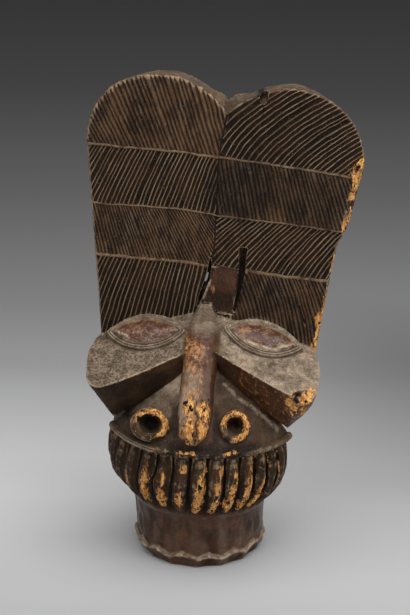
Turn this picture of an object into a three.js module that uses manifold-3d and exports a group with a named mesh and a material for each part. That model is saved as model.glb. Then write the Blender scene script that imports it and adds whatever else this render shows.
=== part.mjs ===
// Batcham crest mask: one carved block of hardwood, hollow below so that it sits on top of a head.
// Millimetres, +Z up. The face looks along -Y and its left and right are named as the viewer sees them.
// The wood is worked out around the upright axis of the neck, and moved at the end so that the
// origin is on the floor, under the middle of the whole block.

import * as THREE from 'three';
import { ConvexGeometry } from 'three/addons/geometries/ConvexGeometry.js';
import { mergeVertices } from 'three/addons/utils/BufferGeometryUtils.js';
import Module from 'manifold-3d';

// Neck and its dog-tooth rim
const neckRadius = 96;
const neckTopRadius = 103;
const neckTop = 110;
const neckOffset = 2;
const rimHeight = 37;
const rimTeeth = 15;
const rimReach = 3;

// Hollow for the wearer's head
const hollowRadius = 78;
const hollowShoulder = 180;
const hollowTop = 275;

// Head, measured around the neck's axis
const headLean = THREE.MathUtils.degToRad(2.3);
const headPivot = 30;
const skullRadius = 108;
const skullTop = 384;
const lipRadius = 144;
const lipHeight = 219;
const lipHalfAngle = THREE.MathUtils.degToRad(67);
const lipWear = 4;
const lipWearMiddle = THREE.MathUtils.degToRad(14);
const lipWearReach = THREE.MathUtils.degToRad(32);
const jawBottom = 89;
const jawLeftAngle = THREE.MathUtils.degToRad(84);
const jawRightAngle = THREE.MathUtils.degToRad(64);
const jawFade = THREE.MathUtils.degToRad(30);
const jawLeftDrop = 10;
const headBack = 24;

// Teeth, cut by eye and so unevenly spread around the jaw
const toothDegrees = [-88, -76, -65, -54, -43, -31.5, -20, -8.5, 2, 12.5, 23, 33.5, 43.5, 53, 61.5, 69, 77];
const toothTop = 212;
const toothBottom = 96;
const toothHalfWidth = 11.6;
const toothHalfDepth = 11;
const toothStraight = THREE.MathUtils.degToRad(30);
const toothSwingRate = 0.126;
const toothMostSwing = THREE.MathUtils.degToRad(16);

// Nose and nostrils
const noseTop = 404;
const noseBottom = 233;
const noseHalfWidth = 25;
const noseDepth = 58;
const noseSlant = -6;
const nostrilSpread = 62;
const nostrilMiddle = -9.5;
const nostrilHeight = 254;
const nostrilFront = 126;
const nostrilRadius = 25;
const nostrilBowl = 15;
const nostrilLift = THREE.MathUtils.degToRad(24);

// Eyes, on the sloping shelf of each cheek
const eyeLength = 124;
const eyeWidth = 66;
const eyeRim = 5;
const pupilLength = 96;
const pupilWidth = 38;
const pupilRise = 5;

// Crest: a thick upright board cut to two lobes
const crestLean = THREE.MathUtils.degToRad(5.8);
const crestFootX = 8;
const crestFootZ = 330;
const crestFront = -20;
const crestFootThickness = 48;
const crestTopThickness = 31;
const crestHeight = 414;
const leftLobeTop = 413;
const crestFootLeft = -152;
const crestFootRight = 166;
const crestHalfWidth = 199;
const lobeFoot = 306;
const lobeMiddle = 88;
const notchHeight = 366;
const lobeBackDrop = 9;
const notchBackRise = 12;
const crestUnderHead = -88;

const wasm = await Module();
wasm.setup();

// A closed geometry as a solid that can be joined and cut
function solid(geometry) {
  const bare = geometry.clone();
  bare.deleteAttribute('normal');
  bare.deleteAttribute('uv');
  const merged = mergeVertices(bare, 1e-3);
  const vertProperties = new Float32Array(merged.attributes.position.array);
  const triVerts = new Uint32Array(merged.index.array);
  return new wasm.Manifold(new wasm.Mesh({ numProp: 3, vertProperties, triVerts }));
}

// A solid's surface as a three.js geometry
function surface(body) {
  const mesh = body.getMesh();
  const places = new Float32Array(mesh.numVert * 3);
  for (let i = 0; i < mesh.numVert; i += 1) {
    for (let k = 0; k < 3; k += 1) {
      places[3 * i + k] = mesh.vertProperties[mesh.numProp * i + k];
    }
  }
  const geometry = new THREE.BufferGeometry();
  geometry.setAttribute('position', new THREE.BufferAttribute(places, 3));
  geometry.setIndex(new THREE.BufferAttribute(new Uint32Array(mesh.triVerts), 1));
  geometry.computeVertexNormals();
  return geometry;
}

// Moves every point of a plain geometry to where form(x, y, z) says
function formed(geometry, form) {
  const places = geometry.attributes.position;
  for (let i = 0; i < places.count; i += 1) {
    const to = form(places.getX(i), places.getY(i), places.getZ(i));
    places.setXYZ(i, to.x, to.y, to.z);
  }
  return geometry;
}

// A plain round bar of radius 1 and height 1, whose points are then formed by form(angle, reach, height).
// Angle 0 is the front, reach is 1 on the side and 0 on the axis, and height runs from 0 to 1.
function formedBar(sides, steps, form) {
  const bar = new THREE.CylinderGeometry(1, 1, 1, sides, steps);
  return formed(bar, (x, y, z) => form(Math.atan2(x, z), Math.hypot(x, z), y + 0.5));
}

const around = (angle, radius, z) => new THREE.Vector3(radius * Math.sin(angle), -radius * Math.cos(angle), z);
const mix = THREE.MathUtils.lerp;
const ease = THREE.MathUtils.smoothstep;

// Reads a value off a smooth line through [height, value] pairs that rise in height
function valueAt(pairs, height) {
  let i = 0;
  while (i < pairs.length - 2 && height > pairs[i + 1][0]) {
    i += 1;
  }
  const [from, to] = [pairs[i], pairs[i + 1]];
  const share = THREE.MathUtils.clamp((height - from[0]) / (to[0] - from[0]), 0, 1);
  return mix(from[1], to[1], share);
}

// Neck: a slightly waisted round column
function neck() {
  const profile = new THREE.SplineCurve([
    new THREE.Vector2(neckRadius - 6, 2),
    new THREE.Vector2(neckRadius, 24),
    new THREE.Vector2(neckRadius + 1, 52),
    new THREE.Vector2(neckTopRadius, neckTop),
  ]).getPoints(4);
  const axisTop = new THREE.Vector2(0, neckTop);
  const axisBottom = new THREE.Vector2(0, 2);
  return standing(new THREE.LatheGeometry([axisBottom, ...profile, axisTop], 44)).translate(neckOffset, 0, 0);
}

// LatheGeometry and CylinderGeometry turn around Y; this stands them up along Z
function standing(geometry) {
  return geometry.rotateX(Math.PI / 2);
}

// Rim: two rows of slanting facets that meet in a zigzag ridge
function rim() {
  const rows = [
    { high: 0, low: 0, highReach: -8, lowReach: -4 },
    { high: 23, low: 15, highReach: rimReach, lowReach: rimReach - 1 },
    { high: rimHeight, low: rimHeight - 12, highReach: -4, lowReach: -4 },
  ];
  const facets = formedBar(2 * rimTeeth, rows.length - 1, (angle, reach, height) => {
    const row = rows[Math.round(height * (rows.length - 1))];
    const step = Math.round((angle + Math.PI) * rimTeeth / Math.PI);
    const isHigh = step % 2 === 0;
    const radius = neckRadius + (isHigh ? row.highReach : row.lowReach);
    return around(angle, reach * radius, reach > 0.5 ? (isHigh ? row.high : row.low) : row.high);
  });
  return facets.translate(neckOffset, 0, 0);
}

// Skull: rounded behind the face, closing to the back of the crest
function skull() {
  const profile = new THREE.SplineCurve([
    new THREE.Vector2(neckRadius - 6, 60),
    new THREE.Vector2(skullRadius - 5, 108),
    new THREE.Vector2(skullRadius + 1, 165),
    new THREE.Vector2(skullRadius, 225),
    new THREE.Vector2(skullRadius - 14, 285),
    new THREE.Vector2(skullRadius - 42, 335),
    new THREE.Vector2(26, skullTop - 8),
    new THREE.Vector2(0, skullTop),
  ]).getPoints(11);
  const axisBottom = new THREE.Vector2(0, 60);
  return standing(new THREE.LatheGeometry([axisBottom, ...profile], 40));
}

// How far the mouth stands out of the head at an angle: 1 in front, 0 behind its ends
const standOut = (angle, end) => 1 - ease(Math.abs(angle), end, end + jawFade);

// The radius of the teeth's faces at a height, full above and drawn in to the neck below
const jawLine = [
  [jawBottom, 111],
  [104, 118],
  [112, 125],
  [122, 132],
  [136, 137],
  [160, 141],
  [lipHeight, 142],
];

// The jaw lies behind the faces of the teeth and shows as a dark gap between them. It reaches further
// around the head and hangs lower on the left.
const gapDepth = 7;
function jawRadius(angle, z) {
  const drop = jawLeftDrop * ease(-angle, jawRightAngle, jawLeftAngle);
  const share = standOut(angle, angle < 0 ? jawLeftAngle : jawRightAngle);
  return mix(skullRadius - 12, valueAt(jawLine, z + drop) - gapDepth, share);
}

function jaw() {
  return formedBar(48, 7, (angle, reach, height) => {
    const z = mix(jawBottom, lipHeight, height);
    return around(angle, reach * jawRadius(angle, z), z);
  });
}

// Muzzle: slopes back from the lip to beside the nose
function muzzle() {
  const top = { width: 40, depth: 22, centre: -44, height: 332 };
  return formedBar(48, 4, (angle, reach, height) => {
    const footRadius = mix(skullRadius - 12, lipRadius, standOut(angle, jawRightAngle));
    const foot = around(angle, footRadius, lipHeight - 4);
    const head = new THREE.Vector3(
      top.width * Math.sin(angle),
      top.centre - top.depth * Math.cos(angle),
      top.height,
    );
    const edge = foot.clone().lerp(head, height);
    const middle = new THREE.Vector3(0, mix(0, top.centre, height), edge.z);
    return middle.lerp(edge, reach);
  });
}

// Lip: a raised band along the top of the teeth, worn back in the middle
function lip() {
  const points = [];
  for (let i = 0; i <= 16; i += 1) {
    const angle = mix(-lipHalfAngle, lipHalfAngle, i / 16);
    const worn = lipWear * Math.exp(-(((angle - lipWearMiddle) / lipWearReach) ** 4));
    points.push(around(angle, lipRadius - worn, lipHeight - 2 - 4 * Math.cos(angle)));
  }
  const section = new THREE.Shape();
  section.absellipse(0, 0, 6, 4.5, 0, 2 * Math.PI);
  return new THREE.ExtrudeGeometry(section, {
    steps: 24,
    curveSegments: 4,
    extrudePath: new THREE.CatmullRomCurve3(points),
    bevelEnabled: false,
  });
}

// How far round to the left a tooth's foot swings. The left teeth hang straight down and don't close in
// towards the neck.
function toothSwing(angle) {
  const leftwards = Math.max(0, toothStraight - angle);
  return Math.min(toothMostSwing, toothSwingRate * leftwards ** 2);
}

// One tooth: a long lens, blunt above and drawn to a point below, lying on the jaw at an angle
function tooth(angle) {
  const lens = new THREE.SphereGeometry(1, 8, 7);
  return formed(lens, (x, y, z) => {
    const down = Math.acos(THREE.MathUtils.clamp(y, -1, 1)) / Math.PI;
    const height = mix(toothTop, toothBottom, down);
    const roundness = Math.sin(Math.PI * down);
    const spread = roundness > 0.01 ? roundness ** -0.5 : 0;
    const fullness = spread * (1 - 0.35 * down ** 2);
    const middle = angle - toothSwing(angle) * down;
    const radius = jawRadius(middle, height) - 1 + z * fullness * toothHalfDepth;
    const turn = (x * fullness * toothHalfWidth) / radius;
    return around(middle + turn, radius, height);
  });
}

function teeth() {
  return toothDegrees.map((degrees) => tooth(THREE.MathUtils.degToRad(degrees)));
}

// Cheek: a block with a sloping shelf on top, a face that looks forward and down, and a rounded corner.
// side is -1 on the viewer's left and 1 on the right, where the flank is fuller, the shelf's edge
// is higher beside the nose and the shelf runs further in behind it.
function cheek(side) {
  const inward = side > 0 ? 9 : 0;
  const shelfEdge = new THREE.CatmullRomCurve3([
    new THREE.Vector3(26 - inward, -87, side > 0 ? 356 : 352),
    new THREE.Vector3(90, -110, 325),
    new THREE.Vector3(130, -119, 309),
    new THREE.Vector3(151, -120, 303),
    new THREE.Vector3(165, -110, 305),
    new THREE.Vector3(170, -94, 313),
    new THREE.Vector3(171, -64, 331),
    new THREE.Vector3(164, -36, 341),
  ]).getPoints(16);
  const crestJoin = [new THREE.Vector3(20 - inward, crestFront, 388), new THREE.Vector3(155, crestFront, 345)];
  const faceFoot = [new THREE.Vector3(129, -80, 238), new THREE.Vector3(28, -72, 311)];
  const under = [new THREE.Vector3(119, -30, 230), new THREE.Vector3(20, -20, 290)];
  const back = [
    new THREE.Vector3(112, headBack - 10, 236),
    new THREE.Vector3(146, headBack, 318),
    new THREE.Vector3(148, headBack, 338),
    new THREE.Vector3(20, headBack, 330),
  ];
  const fullFlank = side > 0 ? [new THREE.Vector3(163, -100, 288), new THREE.Vector3(151, -90, 265)] : [];
  const points = [...shelfEdge, ...crestJoin, ...faceFoot, ...under, ...back, ...fullFlank];
  return new ConvexGeometry(points.map((p) => new THREE.Vector3(side * p.x, p.y, p.z)));
}

// Broken corner of the right cheek: a shallow scoop
function cheekBreak() {
  const size = 42;
  const corner = new THREE.Vector3(152, -118, 303);
  const outward = new THREE.Vector3(0.3, -0.72, 0.62).normalize();
  const middle = corner.addScaledVector(outward, size - 10);
  return new THREE.IcosahedronGeometry(size, 2).translate(middle.x, middle.y, middle.z);
}

// An almond outline: two arcs that meet in points
function almond(length, width) {
  const half = length / 2;
  const rise = width / 2;
  const radius = (half * half + rise * rise) / (2 * rise);
  const swing = Math.asin(half / radius);
  const shape = new THREE.Shape();
  shape.absarc(0, rise - radius, radius, Math.PI / 2 + swing, Math.PI / 2 - swing, true);
  shape.absarc(0, radius - rise, radius, -Math.PI / 2 + swing, -Math.PI / 2 - swing, true);
  return shape;
}

// A low pad with the almond's outline and a rounded edge
function almondPad(length, width, rise, edge) {
  return new THREE.ExtrudeGeometry(almond(length - 2 * edge, width - 2 * edge), {
    depth: 20,
    curveSegments: 9,
    bevelThickness: rise,
    bevelSize: edge,
    bevelSegments: 2,
  }).translate(0, 0, -20);
}

// Eye: a flat rim with a fuller lens in it, laid on the cheek's shelf. The two eyes are cut at
// slightly different slants, given as the way along each from the nose outwards.
const eyes = [
  { centre: new THREE.Vector3(-87, -47, 362.5), along: new THREE.Vector3(-62, 9, -9), outward: -0.15 },
  { centre: new THREE.Vector3(84, -45, 363.5), along: new THREE.Vector3(60, 1, -14), outward: 0.2 },
];

function eye({ centre, along, outward }) {
  const across = new THREE.Vector3(0, 0.84, 0.5);
  const normal = new THREE.Vector3().crossVectors(along, across).normalize();
  if (normal.z < 0) {
    normal.negate();
  }
  normal.x += outward * 0.1;
  const forward = new THREE.Vector3().crossVectors(normal, along).normalize();
  const place = new THREE.Matrix4().makeBasis(along.clone().normalize(), forward, normal.normalize());
  place.setPosition(centre);
  const outer = almondPad(eyeLength, eyeWidth, eyeRim, 5).applyMatrix4(place);
  const inner = almondPad(pupilLength, pupilWidth, eyeRim + pupilRise, 15).applyMatrix4(place);
  return [outer, inner];
}

// Nose: a long bar, its ridge running forward from the crest and down to a blunt tip
function nose() {
  const ridge = [
    [noseBottom, -150],
    [noseBottom + 9, -158],
    [noseBottom + 32, -156],
    [290, -138],
    [325, -115],
    [350, -99],
    [364, -84],
    [376, -60],
    [388, -38],
    [noseTop, -24],
  ];
  const fullness = [
    [noseBottom, 0.5],
    [noseBottom + 6, 0.78],
    [noseBottom + 16, 0.95],
    [noseBottom + 34, 1.06],
    [300, 1.0],
    [355, 0.98],
    [378, 0.85],
    [noseTop, 0.35],
  ];
  return formedBar(16, 12, (angle, reach, height) => {
    const z = mix(noseBottom, noseTop, height);
    const slant = noseSlant * (1 - height) - 2;
    const boxiness = 0.75;
    const sideways = Math.sign(Math.sin(angle)) * Math.abs(Math.sin(angle)) ** boxiness;
    const forward = Math.sign(Math.cos(angle)) * Math.abs(Math.cos(angle)) ** boxiness;
    const half = Math.min(noseDepth, 8 - valueAt(ridge, z)) / 2;
    const x = slant + reach * noseHalfWidth * valueAt(fullness, z) * sideways;
    const y = valueAt(ridge, z) + half - reach * half * forward;
    return new THREE.Vector3(x, y, z);
  });
}

// Nostril: a ring that stands out of the muzzle, and the blind bowl that is cut into it
function nostrilPlace(side) {
  const place = new THREE.Matrix4().makeRotationX(Math.PI / 2 - nostrilLift);
  const height = nostrilHeight + 3 * side;
  return place.setPosition(nostrilMiddle + side * nostrilSpread, -nostrilFront, height);
}

// The left nostril is the wider one
const nostrilWidth = (side) => (side < 0 ? 1.18 : 0.92);

function nostrilRing(side) {
  const profile = [
    [0, -40], [nostrilRadius - 3, -40], [nostrilRadius, -14], [nostrilRadius - 1, -4],
    [nostrilRadius - 5, 0], [nostrilBowl, 0], [0, 0],
  ];
  const points = profile.map(([radius, height]) => new THREE.Vector2(radius, height));
  const ring = standing(new THREE.LatheGeometry(points, 24)).scale(nostrilWidth(side), 1, 1);
  return ring.applyMatrix4(nostrilPlace(side));
}

function nostrilHollow(side) {
  const profile = [
    [0, -27], [7, -26], [11, -20], [nostrilBowl - 1, -8], [nostrilBowl + 2, 1], [nostrilBowl + 2, 12], [0, 12],
  ];
  const points = profile.map(([radius, height]) => new THREE.Vector2(radius, height));
  const bowl = standing(new THREE.LatheGeometry(points, 18)).scale(nostrilWidth(side), 1, 1);
  return bowl.applyMatrix4(nostrilPlace(side));
}

// Crest outline, in the crest's own frame: x across, y up from its foot. Two lobes meet in a notch,
// and the right edge below its lobe is broken inwards.
function crestOutline() {
  const outline = new THREE.Shape();
  outline.moveTo(crestFootLeft + 34, crestUnderHead);
  outline.lineTo(crestFootRight - 42, crestUnderHead);
  outline.lineTo(crestFootRight, 0);
  outline.lineTo(crestFootRight + 7, 125);
  outline.lineTo(crestFootRight + 11, 186);
  outline.lineTo(crestFootRight + 24, 218);
  outline.lineTo(crestHalfWidth - 3, 265);
  outline.lineTo(crestHalfWidth + 2, lobeFoot);
  outline.bezierCurveTo(crestHalfWidth, 372, 150, crestHeight, lobeMiddle, crestHeight);
  outline.bezierCurveTo(46, crestHeight - 4, 12, 384, -3, notchHeight);
  outline.bezierCurveTo(-22, 395, -58, leftLobeTop, -lobeMiddle - 4, leftLobeTop);
  outline.bezierCurveTo(-155, leftLobeTop, -crestHalfWidth - 2, 378, -crestHalfWidth, lobeFoot);
  outline.lineTo(crestFootLeft, 0);
  return outline;
}

function crestPlace() {
  const place = new THREE.Matrix4().makeRotationY(crestLean);
  return place.setPosition(crestFootX, 0, crestFootZ);
}

// How much lower the crest's back edge is than its front edge: cut away along the outer shoulders of
// the lobes, and left standing in the notch
function backDrop(x, y) {
  const shoulder = lobeBackDrop * ease(Math.abs(x), 80, 165) * ease(y, lobeFoot, notchHeight);
  const notch = notchBackRise * (1 - ease(Math.abs(x), 3, 30)) * ease(y, lobeFoot, notchHeight);
  return shoulder - notch;
}

// Crest: the front is flat and upright, and the back slopes so that the board thins upwards
function crest() {
  const edge = 2.5;
  const board = new THREE.ExtrudeGeometry(crestOutline(), {
    depth: 1,
    curveSegments: 12,
    bevelThickness: 1,
    bevelSize: edge,
    bevelOffset: -edge,
    bevelSegments: 1,
  });
  const shaped = formed(board, (x, y, z) => {
    const share = THREE.MathUtils.clamp(y / crestHeight, -0.2, 1);
    const back = crestFront + mix(crestFootThickness, crestTopThickness, share);
    const isFront = z > 0.5;
    const depth = isFront ? crestFront + (2 - z) * edge : back - (z + 1) * edge;
    return new THREE.Vector3(x, depth, isFront ? y : y - backDrop(x, y));
  });
  return shaped.applyMatrix4(crestPlace());
}

// A cut through or into the crest, from its outline in the crest's frame and its depth from the front
function crestCut(points, depth) {
  const outline = new THREE.Shape(points.map(([x, y]) => new THREE.Vector2(x, y)));
  const cut = new THREE.ExtrudeGeometry(outline, { depth: depth + 20, bevelEnabled: false });
  cut.rotateX(Math.PI / 2);
  cut.translate(0, crestFront + depth, 0);
  return cut.applyMatrix4(crestPlace());
}

// Split in the wood above the nose, which narrows to a slit right through the crest
function splitMouth() {
  return crestCut([
    [-4, 150], [-1, 136], [-1, 109], [-5, 95], [-9, 80], [-17, 62], [-14, 85], [-9, 108], [-6, 123], [-5, 136],
  ], 26);
}

function throughSlit() {
  return crestCut([[-6.9, 112], [-4, 112], [-6.9, 91], [-9.8, 91]], 60);
}

// Second split on its right, a gouge at its top, which doesn't reach the back
function blindSplit() {
  return crestCut([[36, 167], [49, 167], [48, 150], [49, 130], [46, 100], [41, 62], [38, 66], [41, 104], [40, 130]], 9);
}

// Smooth patch between the two splits, a little lower than the carved face
function smoothPatch() {
  return crestCut([[-1, 139], [14, 134], [42, 131], [43, 100], [38, 60], [-14, 60], [-5, 95], [-1, 109]], 4);
}

// Broken places along the front of the crest's right edge: height, size, and how far in they bite
const edgeBreaks = [
  { height: 288, size: 26, bite: 11 },
  { height: 256, size: 28, bite: 14 },
  { height: 226, size: 22, bite: 12 },
  { height: 192, size: 14, bite: 8 },
  { height: 160, size: 22, bite: 7 },
  { height: 118, size: 24, bite: 6 },
  { height: 74, size: 22, bite: 6 },
  { height: 34, size: 18, bite: 5 },
];

function edgeBreak({ height, size, bite }) {
  const edgeAt = mix(crestFootRight, crestHalfWidth, height / lobeFoot);
  const chip = new THREE.IcosahedronGeometry(size, 0);
  chip.rotateY(height);
  chip.scale(0.75, 0.9, 1.15);
  chip.translate(edgeAt - bite + 0.75 * size, crestFront - 0.1 * size, height);
  return chip.applyMatrix4(crestPlace());
}

// Bite out of the right lobe's edge beside the notch
function lobeChip() {
  const chip = new THREE.IcosahedronGeometry(6, 1);
  chip.scale(1, 2.5, 2.4);
  chip.translate(47, crestFront, 400);
  return chip.applyMatrix4(crestPlace());
}

// Hollow under the head: a round bore that closes in a dome
function hollow() {
  const dome = [];
  for (let i = 0; i <= 7; i += 1) {
    const angle = (i / 7) * (Math.PI / 2);
    const height = mix(hollowShoulder, hollowTop, Math.sin(angle));
    dome.push(new THREE.Vector2(hollowRadius * Math.cos(angle), height));
  }
  dome[dome.length - 1].x = 0;
  const bottom = [new THREE.Vector2(0, -10), new THREE.Vector2(hollowRadius, -10)];
  return standing(new THREE.LatheGeometry([...bottom, ...dome], 32)).translate(neckOffset, 0, 0);
}

// Joins everything that belongs to the leaning head
function headSolid() {
  const pieces = [skull(), jaw(), muzzle(), lip(), nose(), nostrilRing(-1), nostrilRing(1)];
  pieces.push(...teeth(), cheek(-1), cheek(1), ...eyes.flatMap(eye));
  let head = solid(pieces[0]);
  for (const piece of pieces.slice(1)) {
    head = head.add(solid(piece));
  }
  for (const cut of [nostrilHollow(-1), nostrilHollow(1), cheekBreak()]) {
    head = head.subtract(solid(cut));
  }
  return head;
}

function leaning(geometry) {
  geometry.translate(0, 0, -headPivot);
  geometry.rotateY(headLean);
  return geometry.translate(0, 0, headPivot);
}

function crestSolid() {
  let board = solid(crest());
  const cuts = [splitMouth(), throughSlit(), blindSplit(), smoothPatch(), lobeChip(), ...edgeBreaks.map(edgeBreak)];
  for (const cut of cuts) {
    board = board.subtract(solid(cut));
  }
  return board;
}

function maskGeometry() {
  const head = solid(leaning(surface(headSolid())));
  const whole = head.add(crestSolid()).add(solid(neck())).add(solid(rim()));
  return surface(whole.subtract(solid(hollow())));
}

const wood = new THREE.MeshStandardMaterial({ name: 'patinated_wood', color: 0x2b1d16, roughness: 0.6, metalness: 0 });
const mask = new THREE.Mesh(maskGeometry(), wood);
mask.name = 'mask';

const part = new THREE.Group();
part.add(mask);

const box = new THREE.Box3().setFromObject(part);
const middle = box.getCenter(new THREE.Vector3());
part.position.set(-middle.x, -middle.y, -box.min.z);
part.updateMatrixWorld(true);

export default part;
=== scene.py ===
import math

import bpy
import numpy as np
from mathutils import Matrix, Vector


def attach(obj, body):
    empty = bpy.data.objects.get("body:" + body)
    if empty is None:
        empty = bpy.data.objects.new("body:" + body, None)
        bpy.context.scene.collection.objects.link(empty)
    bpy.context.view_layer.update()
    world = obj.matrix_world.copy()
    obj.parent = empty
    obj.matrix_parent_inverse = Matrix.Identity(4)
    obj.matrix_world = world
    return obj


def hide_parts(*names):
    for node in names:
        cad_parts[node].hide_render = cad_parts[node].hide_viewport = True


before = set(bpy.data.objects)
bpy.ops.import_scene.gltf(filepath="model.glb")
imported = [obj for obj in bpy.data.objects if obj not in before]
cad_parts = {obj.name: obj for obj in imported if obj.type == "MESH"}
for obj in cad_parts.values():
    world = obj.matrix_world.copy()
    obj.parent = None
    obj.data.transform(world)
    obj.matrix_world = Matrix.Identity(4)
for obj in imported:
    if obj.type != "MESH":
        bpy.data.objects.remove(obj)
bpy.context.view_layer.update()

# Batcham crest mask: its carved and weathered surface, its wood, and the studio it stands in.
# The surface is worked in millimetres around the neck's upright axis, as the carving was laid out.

MM = 0.001
NECK_AXIS = np.array((-39.749, 23.908, 0.0))

# The head leans to the viewer's right, and the crest leans a little more
HEAD_LEAN = math.radians(2.3)
HEAD_PIVOT = 30.0
CREST_LEAN = math.radians(5.8)
CREST_FOOT = (8.0, 330.0)
CREST_FRONT = -20.0
CREST_TOP = 430.0

# Fineness of the carved surface
VOXEL = 0.8
MOST_TRIANGLES = 195000

# Rounding of the block's facets, and how far the surface is blurred to find its relief and its edges
ROUNDING_STEPS = 24
SOFTNESS_LEVELS = 8
RELIEF_STEPS = 30
EDGE_STEPS = 10

# Depth of the crest's carved lines
CRISP_CUT = 1.3
FINE_CUT = 0.8

# Colours, as they look in even light: red, green and blue from 0 to 255
# The darkest patina, also used for painted shade in shaded places and in the eyes' cut lines
DARK_PATINA_AND_SHADE = (30, 20, 13)
BROWN_PATINA = (80, 57, 38)
RED_PATINA = (100, 50, 27)
WORN_BROWN = (150, 96, 54)
OCHRE = (190, 132, 76)
# Pale worn edges, also used for painted highlights on edges and in the lenses
PALE_EDGE = (180, 158, 134)
# Near black: grime, and painted shade in cuts, gaps, holes and hollows
GRIME_AND_SHADE = (7, 5, 3)
WORN_RIDGE = (142, 120, 94)
RED_RIDGE = (112, 80, 56)
DARK_DUST = (96, 84, 70)
DUST = (176, 156, 134)
LENS_RED = (94, 54, 40)
LENS_DUST = (140, 124, 110)
BARE_WOOD = (238, 180, 108)
BARE_SHADE = (168, 106, 54)
BLACK = (0, 0, 0)

# Studio paper: how far behind the mask, in metres, and how pale it is there. Its falling off to dark is
# painted shade.
PAPER = (
    (-0.2, 174), (0.0, 189), (0.15, 203), (0.3, 196), (0.45, 178), (0.65, 150), (0.95, 130),
    (1.6, 104), (2.4, 79), (3.3, 68),
)

# How much darker the paper is on the viewer's right, as painted shade, and how far the floor reaches each
# way, in metres
RIGHT_SHADE = 0.42
FLOOR_REACH = 9.0

# Camera: at the photograph's angle, about 2.9 m in front
CAMERA_PLACE = (0.162545, -2.869028, 1.6)
CAMERA_PITCH = math.radians(22.68062)
CAMERA_HEADING = math.radians(3.80494)
CAMERA_LENS = 124.1
CAMERA_SENSOR = 36.0


def fade(value, full, none):
    """1 where value is at full or beyond it, 0 at none or beyond it, and smooth between the two."""
    share = np.clip((value - none) / (full - none), 0.0, 1.0)
    return share * share * (3.0 - 2.0 * share)


def wander(points, size, seed):
    """A smooth random field from -1 to 1 at points, with features about size across."""
    table = np.random.default_rng(seed).uniform(-1.0, 1.0, (64, 64, 64)).astype(np.float32)
    cell = points / size + 1024.0
    low = np.floor(cell).astype(np.int32)
    x, y, z = (cell - low).astype(np.float32).T
    x, y, z = (t * t * (3.0 - 2.0 * t) for t in (x, y, z))
    i, j, k = (low & 63).T
    i1, j1, k1 = ((low + 1) & 63).T

    def along_x(b, c):
        start = table[i, b, c]
        return start + (table[i1, b, c] - start) * x

    near = along_x(j, k)
    near = near + (along_x(j1, k) - near) * y
    far = along_x(j, k1)
    far = far + (along_x(j1, k1) - far) * y
    return near + (far - near) * z


def rough(points, size, seed, octaves=3):
    """Several wander fields on each other, each half the size and half as strong."""
    total = np.zeros(len(points), np.float32)
    strength = 1.0
    for octave in range(octaves):
        total += strength * wander(points, size * 0.5 ** octave, seed + octave)
        strength *= 0.5
    return total


class Surface:
    """The mask's points, with their places in the frames of the crest and of the leaning head."""

    def __init__(self, mesh):
        self.points = read_vectors(mesh.vertices, "co") / MM - NECK_AXIS
        self.normals = read_vectors(mesh.vertex_normals, "vector")
        self.facing = -self.normals[:, 1]
        self.upward = self.normals[:, 2]
        across = self.points[:, 0] - CREST_FOOT[0]
        up = self.points[:, 2] - CREST_FOOT[1]
        self.u = across * math.cos(CREST_LEAN) - up * math.sin(CREST_LEAN)
        self.w = across * math.sin(CREST_LEAN) + up * math.cos(CREST_LEAN)
        self.behind = self.points[:, 1] - CREST_FRONT
        up = self.points[:, 2] - HEAD_PIVOT
        self.x = self.points[:, 0] * math.cos(HEAD_LEAN) - up * math.sin(HEAD_LEAN)
        self.y = self.points[:, 1]
        self.z = HEAD_PIVOT + self.points[:, 0] * math.sin(HEAD_LEAN) + up * math.cos(HEAD_LEAN)
        self.turn = np.degrees(np.arctan2(self.x, -self.y))
        self.radius = np.hypot(self.x, self.y)
        self.height = self.points[:, 2]
        self.head = np.stack((self.x, self.y, self.z), axis=1)

    def on_crest_front(self):
        level = fade(np.abs(self.behind), 2.5, 4.5)
        return level * fade(self.facing, 0.9, 0.6) * fade(self.w, -50.0, -60.0)


def read_vectors(items, name):
    values = np.empty(3 * len(items), np.float32)
    items.foreach_get(name, values)
    return values.reshape(-1, 3).astype(np.float64)


# The crest's three raised lines between its rows of hatching, in the crest's own frame
SEPARATORS = (
    ((-200, 298), (-150, 299), (-60, 301.5), (-10, 300), (60, 299.5), (110, 297.5), (140, 296), (185, 293.5)),
    ((-185, 211), (-160, 209), (-140, 212), (-60, 216), (-10, 213), (0, 212), (100, 212), (162, 210)),
    ((-175, 132), (-100, 133.5), (-50, 136.5), (-10, 134), (35, 130), (50, 134), (110, 131), (150, 132)),
)
ROW_HEIGHT = 83.0
CREST_BOTTOM = -80.0
# Where the two lobes' hatching meets: height and distance across
SEAM = ((20, 4), (160, 0), (212, -2), (303, -8), (366, -2))

# Darkest places of the crest's face: middle, reach and strength. The last is painted shade in the gouge of
# the second split.
DARK_PLACES = (
    ((32, 256), (70, 62), 0.95),
    ((140, 250), (80, 56), 0.7),
    ((95, 60), (90, 70), 0.55),
    ((-100, 60), (110, 40), 0.45),
    ((90, 350), (90, 60), 0.4),
    ((20, 74), (26, 44), 0.7),
    ((44, 116), (9, 66), 1.0),
)

# Small cracks in the crest's face
CRACKS = (
    ((-6, 84), (3, 75), (11, 69), (17, 58)),
    ((1, 158), (-3, 146), (-4, 134)),
    ((43, 168), (45, 140), (44, 100), (40, 62)),
    ((134, 86), (138, 74), (145, 60)),
    ((38, 66), (30, 60), (26, 52)),
    ((44, 392), (49, 378), (47, 366)),
)

# Pale edge, worn and painted as a highlight, of the patch beside the split, in the crest's frame, and the
# muzzle's on the viewer's right
PATCH_EDGE = ((0, 109), (-4, 95), (-9, 80))
MUZZLE_EDGE = ((33, 302), (53.5, 283), (72.5, 269), (94, 250), (115, 229))

# Chip in the top of the right lobe
CHIP = (43.0, 397.0)

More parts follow.
